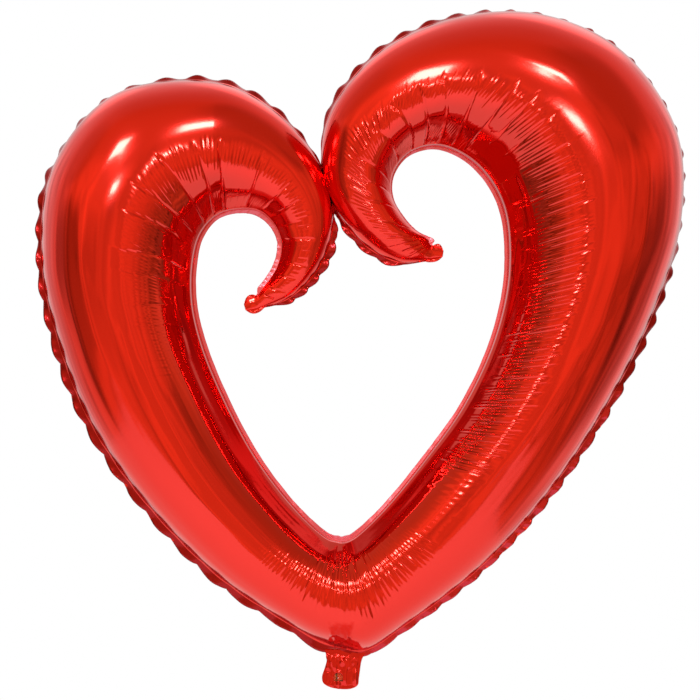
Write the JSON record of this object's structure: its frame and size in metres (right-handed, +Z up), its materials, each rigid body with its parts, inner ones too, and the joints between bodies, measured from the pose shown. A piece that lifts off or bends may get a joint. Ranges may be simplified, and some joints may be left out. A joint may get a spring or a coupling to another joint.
{
  "type": "heart-shaped foil balloon",
  "caption": "Inflated metallised-film balloon: an open heart made of one tube whose ends curl in as hooks, with seam flanges, a flat tail and a self-sealing film valve.",
  "frame": {"origin": "the neck, where the flat tail leaves the bottom point of the heart, in the seam plane", "axes": "+X to the viewer's right, +Y from front to back, +Z up; the seam lies in the plane Y = 0"},
  "size_m": [0.847, 0.222, 0.8895],
  "materials": {
    "red_foil": "mirror-bright red metallised film",
    "valve_film": "milky polyethylene film"
  },
  "bodies": {
    "envelope": {"front_foil_panel": "red_foil", "rear_foil_panel": "red_foil", "valve_neck_front": "valve_film", "valve_neck_rear": "valve_film"},
    "tail": {"tail_front_film": "red_foil", "tail_rear_film": "red_foil", "valve_inlet_front": "valve_film", "valve_inlet_rear": "valve_film"},
    "valve_rear": {"valve_rear_film": "valve_film"},
    "valve_front": {"valve_front_film": "valve_film"}
  },
  "joints": [
    {"name": "tail_fold", "type": "hinge", "parent": "envelope", "child": "tail", "pos_m": [0, 0, -0.001], "axis": [1, 0, 0], "range_deg": [-90, 90]},
    {"name": "valve_swing", "type": "hinge", "parent": "envelope", "child": "valve_rear", "pos_m": [0, 0, 0.0215], "axis": [1, 0, 0], "range_deg": [-10, 10], "stiffness_Nm_per_rad": 0.002},
    {"name": "valve_open", "type": "hinge", "parent": "valve_rear", "child": "valve_front", "pos_m": [0, 0, 0.0215], "axis": [1, 0, 0], "range_deg": [0, 6], "stiffness_Nm_per_rad": 0.002}
  ]
}
